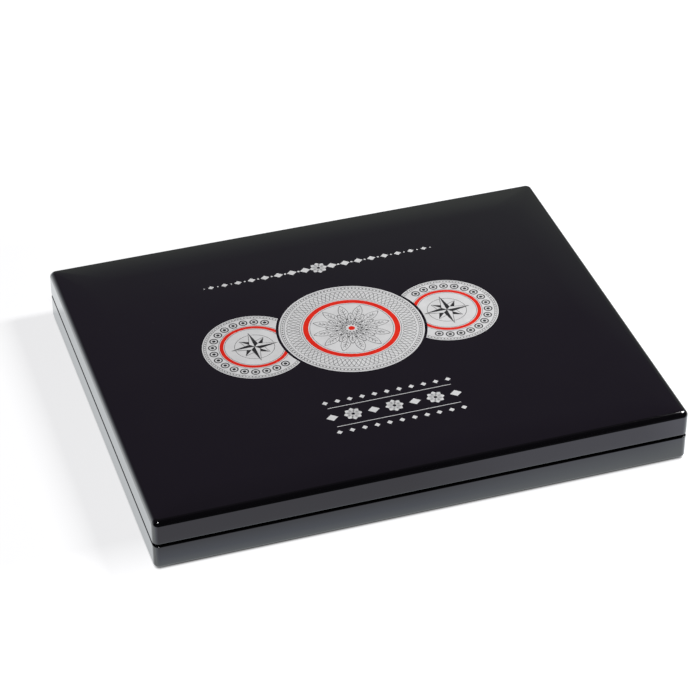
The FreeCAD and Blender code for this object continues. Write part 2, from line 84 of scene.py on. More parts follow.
# The cuts in the shells' rims
BEVEL_CLEARANCE_ANGLE = math.radians(0.3)
BEVEL_EDGE_RADIUS = 0.0006
BEVEL_LAST_ANGLE = math.radians(3)
BEVEL_STEPS = 4
BARREL_CLEARANCE = 0.0003
MORTISE_CLEARANCE = 0.0001
MORTISE_DEPTH = 0.0011
MAGNET_CLEARANCE = 0.00005
CUT_OVERRUN = 0.001
CUT_SEGMENTS = 64

# The print on the lid, with shares of a medal's radius
INK_THICKNESS = 0.00002
INK_SINK_SHARE = 0.5
INK_LAYERS = 4
RED_LEVEL = 2
PRINT_CENTRE = Vector((0, 0.0105))
MEDAL_RADIUS = 0.042
MEDAL_BEADS = 120
SIDE_MEDAL_RADIUS = 0.03
SIDE_MEDAL_BEADS = 96
SIDE_MEDAL_X = 0.058
MEDAL_GAP = 0.0016
HAIR_LINE = 0.00023
THIN_LINE = 0.0004
CIRCLE_STEPS = 128
DOT_STEPS = 20
PETAL_STEPS = 14
PETAL_FULLNESS = 0.8
WHOLE_TURN_MARGIN = 1e-7
MEDAL_RIM_SHARES = (0.972, 0.925)
MEDAL_BEAD_SHARE = 0.9485
MEDAL_BEAD_SIZE_SHARE = 0.011
RED_RING_SHARES = (0.665, 0.593)
RED_EDGE_SHARES = (0.685, 0.573)
BRAID_MIDDLE_SHARE = 0.80
BRAID_SWING_SHARE = 0.092
BRAID_WAVES = 20
BRAID_STRANDS = 4
BRAID_STEPS = 360
ROSETTE_PETALS = 12
ROSETTE_ROWS = ((0.20, 0.545, 0.066), (0.13, 0.36, 0.05), (0.075, 0.21, 0.03))
VEIN_SHARES = (0.35, 0.5, 0.65)
HEART_SHARE = 0.045
COMPASS_STARS = ((0.5, 0.34, 0.15), (0.0, 0.455, 0.12))
COMPASS_POINTS = 4
COMPASS_RING_SHARE = 0.38
SCALLOP_COUNT = 24
SCALLOP_SHARE = 0.80
SCALLOP_SIZE_SHARES = (0.085, 0.062, 0.034)
TITLE_Y = 0.0745
TITLE_HALF_LENGTH = 0.066
TITLE_LOZENGES = 8
LARGE_LOZENGE = Vector((0.0034, 0.0028))
TITLE_DOT = 0.0008
TITLE_TAPER_SHARE = 0.45
BLOCK_Y = -0.066
BLOCK_HALF_LENGTH = 0.036
BLOCK_HALF_HEIGHT = 0.0085
BLOCK_FLOWERS = 3
FLOWER_PETAL = (0.0009, 0.0052, 0.0016)
FLOWER_PETALS = 8
BLOCK_ROW_HALF_HEIGHT = 0.0135
SMALL_LOZENGE = Vector((0.0017, 0.0017))
BLOCK_LOZENGES = 11

# The coin tray
RECESS_DIAMETER = 0.034
RECESS_COLUMNS = 5
RECESS_ROWS = 5
RECESS_LIP = 0.0009
RECESS_SIDE_STEPS = 18
LIP_STEPS = 5
TRAY_EDGE_RADIUS = 0.0009
WELD_DISTANCE = 1e-5

# The satin pad
PAD_GRID_STEP = 0.003
PAD_ROLL_WIDTH = 0.007
PAD_SLACK_ROOM = 0.0005
PAD_UNEVENNESS = 0.0002
PAD_UNEVEN_SCALE = 45.0
PAD_STRETCH_SHARE = 0.012
PAD_FRAMES = 24
PAD_FOAM_WEIGHT = 0.05
PAD_BENDING = 0.6
PAD_SMOOTH_ROUNDS = 8
PAD_MOVE_LIMIT = 0.0008
PAD_SHARP_ANGLE = math.radians(60)

# The felt
FELT_CORNER_RADIUS = 0.004
FELT_EDGE_RADIUS = 0.0002
FELT_SIDE_STEPS = 48
FELT_RING_STEP = 0.004
FELT_UNEVENNESS = 0.00008
FELT_UNEVEN_SCALE = 160.0

# The camera
CAMERA_AZIMUTH = math.radians(-17.834)
CAMERA_ELEVATION = math.radians(36.404)
CAMERA_ROLL = math.radians(-0.215)
CAMERA_DISTANCE = 1.52147
CAMERA_TARGET = Vector((-0.00107, 0.01048, PARTING))
CAMERA_LENS = 135.485
SENSOR_WIDTH = 36.0
NEAR_CLIP = 0.01
FAR_CLIP = 50.0

# The stage: what the camera sees of the floor, with painted shade and light in it, and what the lacquer
# mirrors, with painted reflections on the floor
FLOOR_SIZE = 12.0
FLOOR_COLOUR = (0.4, 0.4, 0.4, 1.0)
FLOOR_TINT = (0.99, 0.99, 1.0, 1.0)
# The camera's white glow; the second value, before the case, is painted light that lifts the case's shadow
# there
FLOOR_GLOW = (0.74, 0.93)
FLOOR_GLOW_FADE = 0.03
FAR_FLOOR_RANGE = (0.08, 0.45)
# Painted contact shadow: how far in under the case's outline the camera's white glow is taken away
CONTACT_SHADOW_DEPTHS = (0.0023, 0.0001)
# Painted reflection for the lacquer's sides and rear: bands of glow across the width that only glossy rays
# see
PAINTED_SIDE_REFLECTION_RANGE = (-0.25, 0.25)
PAINTED_SIDE_REFLECTION_STOPS = (
    (0.0, (0.95, 0.98, 1.0)), (0.19, (0.624, 0.65, 0.666)), (0.22, (0.109, 0.115, 0.12)),
    (0.79, (0.109, 0.115, 0.12)), (0.81, (0.64, 0.69, 0.75)), (0.87, (0.64, 0.69, 0.75)),
    (0.92, (0.085, 0.085, 0.09)),
)
# Painted reflection for the lacquer's front: glow that only glossy rays see before the case, fading to dark
# away from it and paler towards its ends
PAINTED_FRONT_REFLECTION_LENGTH = 0.06
PAINTED_FRONT_REFLECTION_STOPS = (
    (0.0, (0.95, 0.98, 1.0)), (0.03, (0.90, 0.96, 1.0)), (0.14, (0.62, 0.66, 0.76)),
    (0.3, (0.456, 0.467, 0.516)), (0.4, (0.423, 0.418, 0.472)), (0.66, (0.412, 0.406, 0.461)),
    (0.7, (0.022, 0.022, 0.026)),
)
PAINTED_FRONT_END_REFLECTION_STOPS = (
    (0.0, (0.94, 0.98, 1.0)), (0.14, (0.92, 0.97, 1.0)), (0.3, (0.79, 0.82, 0.94)),
    (0.4, (0.74, 0.745, 0.86)), (0.66, (0.72, 0.725, 0.845)), (0.7, (0.04, 0.04, 0.046)),
)
PAINTED_FRONT_REFLECTION_RANGE = (-0.18, 0.18)
PAINTED_FRONT_END_SHARES = ((0.0, 1.0), (0.07, 0.0), (0.5, 0.0), (0.69, 0.36), (0.89, 0.5), (0.96, 1.0))
LEFT_SKY_STOPS = (
    (0.0, (0.95, 0.98, 1.0)), (0.22, (0.64, 0.67, 0.735)), (0.4, (0.34, 0.352, 0.39)),
    (0.5, (0.19, 0.195, 0.214)), (0.55, (0.127, 0.123, 0.143)), (0.58, (0.094, 0.080, 0.113)),
    (0.63, (0.083, 0.068, 0.099)), (0.8, (0.037, 0.033, 0.041)),
)
REAR_SKY_STOPS = (
    (0.0, (0.025, 0.025, 0.025)), (0.35, (0.082, 0.086, 0.082)), (0.45, (0.221, 0.233, 0.225)),
    (0.515, (0.197, 0.209, 0.201)), (0.545, (0.123, 0.123, 0.137)), (0.58, (0.082, 0.070, 0.098)),
    (0.63, (0.073, 0.060, 0.088)), (0.8, (0.037, 0.033, 0.041)),
)
FRONT_SKY = (0.016, 0.015, 0.0185, 1.0)
REAR_SKY_RANGE = (-0.15, 0.25)
LEFT_SKY_RANGE = (-0.1, -0.3)
WHITE = (1.0, 1.0, 1.0, 1.0)
KEY_LAMP = {
    "azimuth": math.radians(94), "elevation": math.radians(51), "distance": 1.0,
    "size": (0.14, 0.33), "power": 8.5,
}
FRONT_LAMP = {
    "azimuth": math.radians(-20), "elevation": math.radians(58), "distance": 1.6,
    "size": (0.3, 0.3), "power": 5.0,
}


# Meshes and pieces

def link(name, data):
    """A new object in the scene."""
    piece = bpy.data.objects.new(name, data)
    bpy.context.scene.collection.objects.link(piece)
    return piece


def piece_from(name, mesh, material):
    """A mesh object with sound normals and one material."""
    bmesh.ops.recalc_face_normals(mesh, faces=mesh.faces)
    data = bpy.data.meshes.new(name)
    mesh.to_mesh(data)
    mesh.free()
    if material:
        data.materials.append(material)
    return link(name, data)


def apply_modifiers(piece):
    """Make a piece's modifiers part of its mesh."""
    graph = bpy.context.evaluated_depsgraph_get()
    made = bpy.data.meshes.new_from_object(piece.evaluated_get(graph))
    before = piece.data
    piece.modifiers.clear()
    piece.data = made
    bpy.data.meshes.remove(before)


def smooth(piece, angle=SHARP_ANGLE):
    """Round shading, kept sharp at real edges and level on flat faces."""
    piece.data.shade_smooth()
    piece.data.set_sharp_from_angle(angle=angle)
    normals = piece.modifiers.new("normals", "WEIGHTED_NORMAL")
    normals.keep_sharp = True


def settle(piece, body, nodes=()):
    """Put a finished piece on its body and the nodes that it stands for."""
    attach(piece, body)
    if nodes:
        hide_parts(*nodes)


def bridge(mesh, first, second, closed=True):
    """Faces between two rows of as many points."""
    count = len(first)
    for number in range(count if closed else count - 1):
        following = (number + 1) % count
        mesh.faces.new((first[number], first[following], second[following], second[number]))


def quarter(steps):
    """Shares across and down a quarter of a round edge, from flat to upright."""
    turns = [math.pi / 2 * step / steps for step in range(steps + 1)]
    return [(1 - math.sin(turn), 1 - math.cos(turn)) for turn in turns]


def row_places(count, pitch):
    """Places a pitch apart, in a row about zero."""
    return [pitch * (number - (count - 1) / 2) for number in range(count)]


def polar(centre, radius, angle):
    """A point at an angle round a centre."""
    return centre + radius * Vector((math.cos(angle), math.sin(angle)))


def at_height(points, height):
    """Level points, put at a height."""
    return [(point.x, point.y, height) for point in points]


def add_rows(mesh, rows, closed=True):
    """Rows of points, with faces from each row to the next."""
    lines = [[mesh.verts.new(point) for point in row] for row in rows]
    for first, second in zip(lines, lines[1:]):
        bridge(mesh, first, second, closed)
    return lines


def add_solid(mesh, rows):
    """A closed solid over rows of points, with a face at each end."""
    lines = add_rows(mesh, rows)
    for end in (lines[0], lines[-1]):
        mesh.faces.new(end)


@dataclass(frozen=True)
class Ring:
    """A level rounded rectangle, by its half sizes, corner radius and height."""

    half_x: float
    half_y: float
    radius: float
    height: float

    def points(self, side_steps):
        """Points round the ring, anticlockwise from the front right corner."""
        arcs = []
        for number, (sign_x, sign_y) in enumerate(((1, -1), (1, 1), (-1, 1), (-1, -1))):
            centre = Vector((sign_x * (self.half_x - self.radius), sign_y * (self.half_y - self.radius)))
            turns = [math.pi / 2 * (number - 1 + step / CORNER_STEPS) for step in range(CORNER_STEPS + 1)]
            arcs.append([polar(centre, self.radius, turn) for turn in turns])
        points = []
        for arc, following in zip(arcs, arcs[1:] + arcs[:1]):
            points += arc
            points += [arc[-1].lerp(following[0], step / side_steps) for step in range(1, side_steps)]
        return at_height(points, self.height)


def sweep(rings, side_steps=1):
    """A closed mesh over a row of rings."""
    mesh = bmesh.new()
    add_solid(mesh, [ring.points(side_steps) for ring in rings])
    return mesh


# Materials

# Most of a noise's values lie between these
NOISE_RANGE = (0.3, 0.7)


class Nodes:
    """The node tree of a material or world, with short ways to add to it."""

    def __init__(self, owner):
        owner.use_nodes = True
        self.tree = owner.node_tree

    def add(self, kind, inputs=None, **options):
        """The outputs of a new node, with its options, and its inputs set or linked."""
        node = self.tree.nodes.new(f"ShaderNode{kind}")
        for option, content in options.items():
            setattr(node, option, content)
        for socket, content in (inputs or {}).items():
            if isinstance(content, bpy.types.NodeSocket):
                self.tree.links.new(content, node.inputs[socket])
            else:
                node.inputs[socket].default_value = content
        return node.outputs

    def combine(self, first, second, operation="ADD"):
        """Two values put together."""
        return self.add("Math", {0: first, 1: second}, operation=operation)[0]

    def span(self, source, given, wanted=(0.0, 1.0)):
        """A value moved from one range to another, and kept inside it."""
        limits = zip(("From Min", "From Max", "To Min", "To Max"), (*given, *wanted))
        inputs = {"Value": source, **dict(limits)}
        return self.add("MapRange", inputs)["Result"]

    def colours(self, source, stops):
        """Colours along a value, by place and colour."""
        output = self.add("ValToRGB", {"Fac": source})["Color"]
        elements = output.node.color_ramp.elements
        while len(elements) < len(stops):
            elements.new(1.0)
        for element, (position, colour) in zip(elements, stops):
            element.position = position
            element.color = (*colour, 1.0)
        return output

    def glow(self, colour, strength=1.0):
        """A surface that shines by itself."""
        return self.add("Emission", {"Color": colour, "Strength": strength})[0]

    def mix(self, share, first, second):
        """Two shaders, mixed by a share."""
        return self.add("MixShader", {0: share, 1: first, 2: second})[0]


class Finish(Nodes):
    """A material with a principled shader, and short ways to add detail to it."""

    def __init__(self, name, settings):
        self.material = bpy.data.materials.new(name)
        super().__init__(self.material)
        self.shader = self.tree.nodes["Principled BSDF"]
        for socket, content in settings.items():
            self.shader.inputs[socket].default_value = content
        self.place = self.add("TexCoord")["Object"]

    def noise(self, scale, detail=2.0, roughness=0.5, place=None):
        """Noise of a scale, in waves to the metre."""
        inputs = {"Vector": place or self.place, "Scale": scale, "Detail": detail, "Roughness": roughness}
        return self.add("TexNoise", inputs)["Fac"]

    def stretched(self, factors):
        """The place, drawn out along the axes."""
        inputs = {"Vector": self.place, "Scale": factors}
        return self.add("Mapping", inputs)["Vector"]

    def specks(self, scale, size):
        """One on sparse round specks, and zero elsewhere."""
        cells = self.add("TexVoronoi", {"Vector": self.place, "Scale": scale})
        return self.span(cells["Distance"], (size, 0.0))

    def spread(self, source, low, high):
        """Noise spread between two values."""
        return self.span(source, NOISE_RANGE, (low, high))

    def wear(self, socket, source):
        """Let a value or colour drive one of the shader's sockets."""
        self.tree.links.new(source, self.shader.inputs[socket])

    def paint(self, source, *stops):
        """Colour the surface along a value, by place and colour."""
        self.wear("Base Color", self.colours(source, stops))

    def mottle(self, source, dark, light):
        """Colour the surface by a noise, between two colours."""
        self.paint(source, *zip(NOISE_RANGE, (dark, light)))

    def bump(self, *layers):
        """Relief from layers of value, strength and depth."""
        normal = None
        for source, strength, depth in layers:
            inputs = {"Height": source, "Strength": strength, "Distance": depth}
            if normal:
                inputs["Normal"] = normal
            normal = self.add("Bump", inputs)["Normal"]
        self.wear("Normal", normal)


def lacquer_finish():
    """Deep black gloss lacquer, with a trace of orange peel and a few specks of dust."""
    finish = Finish("gloss_black_lacquer", {
        "Roughness": 0.05, "IOR": 1.6, "Coat Weight": 1.0, "Coat Roughness": 0.02, "Coat IOR": 1.6,
    })
    dust = finish.specks(scale=130.0, size=0.02)
    clouds = finish.noise(30.0, detail=3.0)
    grey = finish.combine(finish.spread(clouds, 0.0, 0.12), dust)
    finish.paint(
        grey, (0.0, (0.0016, 0.0014, 0.002)), (0.12, (0.0022, 0.002, 0.0027)), (1.0, (0.1, 0.1, 0.1)),
    )
    finish.wear("Roughness", finish.spread(clouds, 0.035, 0.07))
    finish.bump((finish.noise(420.0, detail=1.0), 0.04, 0.00005), (dust, 0.3, 0.00003))
    return finish.material


def silver_finish():
    """Matt silver-grey ink with a fine metallic grain, under the gloss coat."""
    finish = Finish("silver_ink", {
        "Roughness": 0.5, "IOR": 1.45, "Coat Weight": 0.5, "Coat Roughness": 0.05,
    })
    grain = finish.noise(9000.0)
    clouds = finish.noise(120.0)
    tone = finish.combine(finish.spread(grain, 0.0, 0.6), finish.spread(clouds, 0.0, 0.4))
    finish.paint(tone, (0.0, (0.64, 0.64, 0.64)), (0.5, (0.74, 0.74, 0.74)), (1.0, (0.83, 0.83, 0.83)))
    finish.bump((grain, 0.15, 0.00002))
    return finish.material


def red_finish():
    """Warm red enamel ink."""
    finish = Finish("red_ink", {"Roughness": 0.35, "Coat Weight": 0.5, "Coat Roughness": 0.04})
    clouds = finish.noise(260.0)
    finish.mottle(clouds, (0.80, 0.013, 0.001), (0.90, 0.022, 0.002))
    finish.bump((finish.noise(5000.0), 0.1, 0.00001))
    return finish.material


def line_finish():
    """Charcoal ink for the drawn lines on the silver."""
    finish = Finish("charcoal_ink", {"Roughness": 0.4, "Coat Weight": 0.5, "Coat Roughness": 0.05})
    grain = finish.noise(7000.0)
    finish.mottle(grain, (0.012, 0.012, 0.013), (0.028, 0.028, 0.029))
    finish.bump((grain, 0.1, 0.00001))
    return finish.material


def velour_finish():
    """Deep blue flock with a short pile that catches the light at its edges."""
    finish = Finish("blue_velour", {
        "Roughness": 0.95, "Specular IOR Level": 0.15, "Sheen Weight": 0.55, "Sheen Roughness": 0.35,
        "Sheen Tint": (0.30, 0.42, 0.95, 1.0),
    })
    pile = finish.noise(2600.0, detail=3.0, roughness=0.7)
    stroke = finish.noise(24.0, place=finish.stretched((1.0, 2.2, 1.0)))
    tone = finish.combine(finish.spread(pile, 0.0, 0.5), finish.spread(stroke, 0.0, 0.5))
    finish.paint(
        tone, (0.0, (0.006, 0.011, 0.04)), (0.5, (0.014, 0.024, 0.085)), (1.0, (0.03, 0.046, 0.15)),
    )
    finish.bump((pile, 0.6, 0.00025), (stroke, 0.15, 0.0006))
    return finish.material


def satin_finish():
    """Ivory satin with fine crossed threads and a soft sheen."""
    finish = Finish("ivory_satin", {
        "Roughness": 0.38, "Specular IOR Level": 0.6, "Sheen Weight": 0.25, "Sheen Roughness": 0.4,
        "Sheen Tint": (1.0, 0.97, 0.9, 1.0),
    })
    warp = finish.add("TexWave", {
        "Vector": finish.place, "Scale": 420.0, "Distortion": 0.6, "Detail": 1.0, "Detail Scale": 2.0,
    }, bands_direction="X")["Fac"]
    weft = finish.noise(900.0, place=finish.stretched((0.12, 1.0, 1.0)))
    cloud = finish.noise(14.0)
    tone = finish.combine(finish.spread(weft, 0.0, 0.6), cloud)
    finish.paint(tone, (0.2, (0.70, 0.665, 0.59)), (1.0, (0.80, 0.77, 0.70)))
    finish.wear("Roughness", finish.spread(weft, 0.32, 0.46))
    finish.bump((warp, 0.12, 0.00008), (weft, 0.18, 0.0001))
    return finish.material


def felt_finish():
    """Black felt with loose crossed fibres."""
    finish = Finish("black_felt", {
        "Roughness": 0.97, "Specular IOR Level": 0.1, "Sheen Weight": 0.35, "Sheen Roughness": 0.5,
        "Sheen Tint": (0.8, 0.82, 0.9, 1.0),
    })
    fibres = finish.noise(900.0, detail=4.0, roughness=0.75, place=finish.stretched((1.0, 0.35, 1.0)))
    crossing = finish.noise(900.0, detail=4.0, roughness=0.75, place=finish.stretched((0.35, 1.0, 1.0)))
    tone = finish.combine(fibres, crossing, "MULTIPLY")
    finish.paint(
        tone, (0.1, (0.006, 0.006, 0.007)), (0.28, (0.018, 0.018, 0.02)), (0.5, (0.05, 0.05, 0.054)),
    )
    finish.bump((tone, 0.8, 0.0003))
    return finish.material


def board_finish():
    """Dark grey pressed board with short fibres."""
    finish = Finish("grey_board", {"Roughness": 0.85, "Specular IOR Level": 0.25})
    fibres = finish.noise(1500.0, detail=4.0, roughness=0.7, place=finish.stretched((0.3, 1.0, 1.0)))
    finish.mottle(fibres, (0.07, 0.07, 0.078), (0.13, 0.13, 0.14))
    finish.bump((fibres, 0.4, 0.0001))
    return finish.material


def metal_finish(name, dark, light, roughness):
    """Rolled and polished metal: fine lines along it, and a little tarnish."""
    finish = Finish(name, {"Metallic": 1.0, "Roughness": roughness})
    lines = finish.noise(1800.0, detail=3.0, roughness=0.6, place=finish.stretched((0.03, 1.0, 1.0)))
    tarnish = finish.noise(170.0, detail=4.0, roughness=0.65)
    finish.paint(tarnish, (0.35, dark), (0.62, light))
    finish.wear("Roughness", finish.spread(lines, roughness * 0.7, roughness * 1.5))
    finish.bump((lines, 0.12, 0.00003))
    return finish.material


# Shells

@dataclass(frozen=True)
class Shell:
    """One half of the case; into is 1 or -1, up or down from its rim to its outer face."""

    name: str
    into: int
    face: float
    inner_face: float
    roll_radius: float
    roll_corner: float
    rim_radius: float
    crown_slope: float = 0.0
    groove_height: float = 0.0


LID = Shell(
    name="lid", into=1, face=LID_TOP, inner_face=LID_CEILING, roll_radius=TOP_ROLL_RADIUS,
    roll_corner=TOP_CORNER_RADIUS, rim_radius=LID_RIM_RADIUS, crown_slope=CROWN_SLOPE,
)
BASE = Shell(
    name="base", into=-1, face=BASE_BOTTOM, inner_face=BASE_FLOOR, roll_radius=BOTTOM_RADIUS,
    roll_corner=CORNER_RADIUS - BOTTOM_RADIUS, rim_radius=BASE_RIM_RADIUS, groove_height=GROOVE_HEIGHT,
)
SHELL_SIDES = ("panel", "front_rail", "rear_rail", "left_rail", "right_rail")
HANDS = ("left", "right")


def case_ring(inset, height, radius):
    """A ring set in from the case's outline."""
    return Ring(HALF_WIDTH - inset, HALF_DEPTH - inset, radius, height)


def crown_rings(shell):
    """Rings of the face where it falls off very slightly towards its edges."""
    rings = []
    if shell.crown_slope:
        for step in range(CROWN_STEPS):
            share = step / CROWN_STEPS
            inset = shell.roll_radius + CROWN_WIDTH * (1 - share)
            drop = shell.crown_slope * CROWN_WIDTH * share ** 2 / 2
            radius = CROWN_CORNER_RADIUS + (shell.roll_corner - CROWN_CORNER_RADIUS) * share
            rings.append(case_ring(inset, shell.face - shell.into * drop, radius))
    return rings


def shell_rings(shell):
    """Rings from a shell's outer face, over its wall and rim, to its floor or ceiling."""
    rings = crown_rings(shell)
    shoulder = shell.face - shell.into * shell.crown_slope * CROWN_WIDTH / 2
    for across, down in quarter(ROLL_STEPS):
        radius = CORNER_RADIUS + (shell.roll_corner - CORNER_RADIUS) * across
        height = shoulder - shell.into * shell.roll_radius * down
        rings.append(case_ring(shell.roll_radius * across, height, radius))
    rim = PARTING + shell.into * shell.groove_height
    for across, down in reversed(quarter(RIM_STEPS)):
        inset = shell.rim_radius * across
        rings.append(case_ring(inset, rim + shell.into * shell.rim_radius * down, CORNER_RADIUS - inset))
    if shell.groove_height:
        corner = CORNER_RADIUS - GROOVE_DEPTH
        rings += [case_ring(GROOVE_DEPTH, height, corner) for height in (rim, PARTING)]
    for across, down in quarter(RIM_STEPS):
        lap = INNER_RIM_RADIUS * across
        height = PARTING + shell.into * INNER_RIM_RADIUS * down
        rings.append(case_ring(RAIL - lap, height, INNER_CORNER_RADIUS + lap))
    rings.append(case_ring(RAIL, shell.inner_face, INNER_CORNER_RADIUS))
    return rings


def block(low, high):
    """A box between two corners."""
    mesh = bmesh.new()
    size = high - low
    bmesh.ops.create_cube(mesh, matrix=Matrix.Translation((low + high) / 2) @ Matrix.Diagonal((*size, 1)))
    return mesh


def rod(centre, radius, length, lengthwise):
    """A round rod about a centre, along the width or upright."""
    mesh = bmesh.new()
    turn = Matrix.Rotation(math.pi / 2, 4, "Y") if lengthwise else Matrix.Identity(4)
    bmesh.ops.create_cone(
        mesh, cap_ends=True, segments=CUT_SEGMENTS, radius1=radius, radius2=radius, depth=length,
        matrix=Matrix.Translation(centre) @ turn,
    )
    return mesh


def bevel_cutter():
    """The wedge that opens the parting behind the hinge axis, with soft outer edges."""
    slope = OPENING_ANGLE / 2 + BEVEL_CLEARANCE_ANGLE
    turn = math.pi / 2 - slope
    drop = (HALF_DEPTH - HINGE_Y) * math.tan(slope) + BEVEL_EDGE_RADIUS * math.tan(turn / 2)
    half = []
    for step in range(BEVEL_STEPS + 1):
        angle = turn + (BEVEL_LAST_ANGLE - turn) * step / BEVEL_STEPS
        half.append(polar(Vector((HALF_DEPTH - BEVEL_EDGE_RADIUS, -drop)), BEVEL_EDGE_RADIUS, angle))
    half.append(Vector((HALF_DEPTH + CUT_OVERRUN, half[-1].y)))
    outline = [Vector((HINGE_Y, 0)), *half, *(Vector((point.x, -point.y)) for point in reversed(half))]
    mesh = bmesh.new()
    reach = HALF_WIDTH + CUT_OVERRUN
    add_solid(mesh, [[(x, point.x, PARTING + point.y) for point in outline] for x in (-reach, reach)])
    return mesh


def barrel_cutter(shell, hand):
    """The groove round a hinge's barrel."""
    low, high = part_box(f"{hand}_hinge_{shell.name}_leaf")
    reach = (high.z if shell is BASE else 2 * PARTING - low.z) - PARTING + BARREL_CLEARANCE
    centre = Vector(((low.x + high.x) / 2, HINGE_Y, PARTING))
    return rod(centre, reach, high.x - low.x + 2 * MORTISE_CLEARANCE, lengthwise=True)


def mortise_cutter(shell, hand):
    """The shallow seat of a hinge leaf."""
    low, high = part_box(f"{hand}_hinge_{shell.name}_leaf")
    depths = sorted((PARTING - shell.into * CUT_OVERRUN, PARTING + shell.into * MORTISE_DEPTH))
    return block(
        Vector((low.x - MORTISE_CLEARANCE, low.y - MORTISE_CLEARANCE, depths[0])),
        Vector((high.x + MORTISE_CLEARANCE, HINGE_Y, depths[1])),
    )


def magnet_cutter(shell, hand):
    """The round seat of a magnet."""
    low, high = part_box(f"{shell.name}_magnet_{hand}")
    inner = high.z if shell is LID else low.z
    outer = PARTING - shell.into * CUT_OVERRUN
    centre = Vector(((low.x + high.x) / 2, (low.y + high.y) / 2, (inner + outer) / 2))
    return rod(centre, (high.x - low.x) / 2 + MAGNET_CLEARANCE, abs(inner - outer), lengthwise=False)


def carve(piece, cutter_mesh):
    """Cut a shape out of a piece."""
    cutter = piece_from("cutter", cutter_mesh, None)
    cut = piece.modifiers.new("cut", "BOOLEAN")
    cut.operation = "DIFFERENCE"
    cut.solver = "EXACT"
    cut.object = cutter
    apply_modifiers(piece)
    bpy.data.meshes.remove(cutter.data)


def make_shell(shell, material):
    """A shell under one skin of lacquer, with the seats for its hinges and magnets."""
    piece = piece_from(f"{shell.name}_shell", sweep(shell_rings(shell)), material)
    carve(piece, bevel_cutter())
    for hand in HANDS:
        for cutter in (mortise_cutter, barrel_cutter, magnet_cutter):
            carve(piece, cutter(shell, hand))
    smooth(piece)
    settle(piece, shell.name, [f"{shell.name}_{side}" for side in SHELL_SIDES])


# Print

class Ink:
    """Printed shapes of one colour, as thin solids at one level above the lid."""

    def __init__(self, mesh, level):
        self.mesh = mesh
        self.low = LID_TOP + (level - INK_SINK_SHARE) * INK_THICKNESS
        self.high = LID_TOP + (level + 1) * INK_THICKNESS

    def fill(self, outline):
        """A patch inside an outline."""
        add_solid(self.mesh, [at_height(outline, height) for height in (self.low, self.high)])

    def band(self, first, second, closed=True):
        """A band between two lines of as many points."""
        edges = ((first, self.low), (first, self.high), (second, self.high), (second, self.low))
        rows = add_rows(self.mesh, [at_height(points, height) for points, height in edges], closed)
        bridge(self.mesh, rows[-1], rows[0], closed)
        if not closed:
            for end in (0, -1):
                self.mesh.faces.new([row[end] for row in rows])

    def line(self, start, stop, width):
        """A straight line of even width."""
        along = (stop - start).normalized()
        across = Vector((-along.y, along.x)) * width / 2
        self.fill([start + across, start - across, stop - across, stop + across])


@dataclass(frozen=True)
class Medal:
    """A round printed medal, cut off where another overlaps it."""

    centre: Vector
    radius: float
    cover: float = 0.0

    @property
    def outward(self):
        """The angle that points away from the middle of the print."""
        return 0.0 if self.centre.x >= PRINT_CENTRE.x else math.pi

    def half_turn(self, radius):
        """How far round to each side of outward a circle shows."""
        if not self.cover:
            return math.pi
        distance = (self.centre - PRINT_CENTRE).length
        share = (self.cover ** 2 - distance ** 2 - radius ** 2) / (2 * distance * radius)
        return math.acos(max(-1.0, min(1.0, share)))

    def shows(self, point, room):
        """Whether a spot with some room round it is clear of the cover."""
        return (point - PRINT_CENTRE).length > self.cover + room

    def arc(self, radius):
        """Points along the part of a circle that shows."""
        half = self.half_turn(radius)
        turns = [self.outward - half + 2 * half * step / CIRCLE_STEPS for step in range(CIRCLE_STEPS + 1)]
        return [polar(self.centre, radius, turn) for turn in turns]

    def ring(self, ink, outer_share, inner_share):
        """A ring, or as much of it as shows."""
        whole = self.half_turn(self.radius * inner_share) > math.pi - WHOLE_TURN_MARGIN
        edges = [self.arc(self.radius * share) for share in (outer_share, inner_share)]
        if whole:
            edges = [edge[:-1] for edge in edges]
        ink.band(*edges, closed=whole)

    def hair_ring(self, ink, share):
        """A thin drawn ring."""
        half_share = HAIR_LINE / self.radius / 2
        self.ring(ink, share + half_share, share - half_share)

    def spot(self, share, turn_share):
        """A point at a share of the radius and of a full turn."""
        return polar(self.centre, self.radius * share, self.outward + math.tau * turn_share)


def dot(centre, radius):
    """The outline of a dot."""
    return [polar(centre, radius, math.tau * step / DOT_STEPS) for step in range(DOT_STEPS)]


def petal(centre, angle, start, stop, half_width):
    """The outline of a petal that points along an angle."""
    across = Vector((-math.sin(angle), math.cos(angle)))
    sides = ([], [])
    for step in range(PETAL_STEPS + 1):
        share = step / PETAL_STEPS
        middle = polar(centre, start + (stop - start) * share, angle)
        swell = across * half_width * max(0.0, math.sin(math.pi * share)) ** PETAL_FULLNESS
        sides[0].append(middle + swell)
        sides[1].append(middle - swell)
    return sides[0] + sides[1][-2:0:-1]


def lozenge(centre, half_x, half_y):
    """The outline of an upright diamond."""
    corners = ((half_x, 0), (0, half_y), (-half_x, 0), (0, -half_y))
    return [centre + Vector(corner) for corner in corners]


def even_edges(points, width):
    """The two edges of a closed line of even width."""
    edges = ([], [])
    for before, point, after in zip(points[-1:] + points[:-1], points, points[1:] + points[:1]):
        along = (after - before).normalized()
        across = Vector((-along.y, along.x)) * width / 2
        edges[0].append(point + across)
        edges[1].append(point - across)
    return edges


